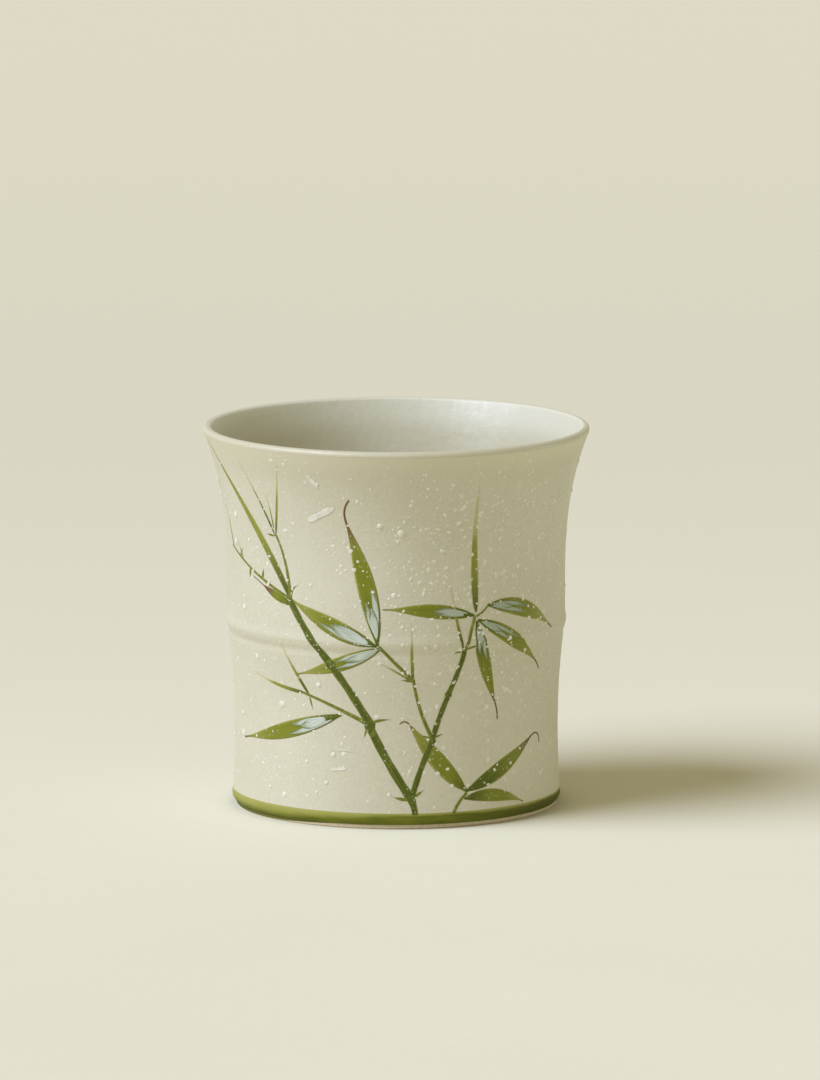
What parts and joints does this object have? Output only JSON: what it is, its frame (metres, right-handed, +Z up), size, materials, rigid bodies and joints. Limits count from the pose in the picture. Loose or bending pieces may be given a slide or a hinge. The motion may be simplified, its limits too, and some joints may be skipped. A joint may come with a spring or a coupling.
{
  "type": "tea cup",
  "caption": "Handleless porcelain tea cup shaped like a bamboo section, with a flared lip, a joint ring, a green foot band and a painted bamboo spray.",
  "frame": {"origin": "centre of the foot ring on the table plane", "axes": "+Z up along the cup's axis, -Y towards the viewer of the painted front, +X to the viewer's right"},
  "size_m": [0.0812, 0.0812, 0.0803],
  "materials": {
    "clay": "bare fired clay, matte",
    "liner": "white satin glaze",
    "outer": "pale matte glaze with a fine grain",
    "band": "green glaze, satin",
    "cane_paint": "painted enamel, satin",
    "twig_paint": "painted enamel, satin",
    "leaf_paint": "painted enamel, satin",
    "shoot_paint": "painted enamel, satin",
    "snow_paint": "raised white enamel, matte"
  },
  "bodies": {
    "root": {"clay_body": "clay", "liner_glaze": "liner", "outer_glaze": "outer", "foot_band": "band", "base_glaze": "liner", "long_cane": "cane_paint", "short_cane": "cane_paint", "twigs": "twig_paint", "fan_leaves": "leaf_paint", "middle_leaves": "leaf_paint", "left_leaves": "leaf_paint", "low_leaves": "leaf_paint", "shoots": "shoot_paint", "leaf_snow": "snow_paint", "snow_dashes": "snow_paint", "snow_flakes": "snow_paint"}
  },
  "joints": []
}
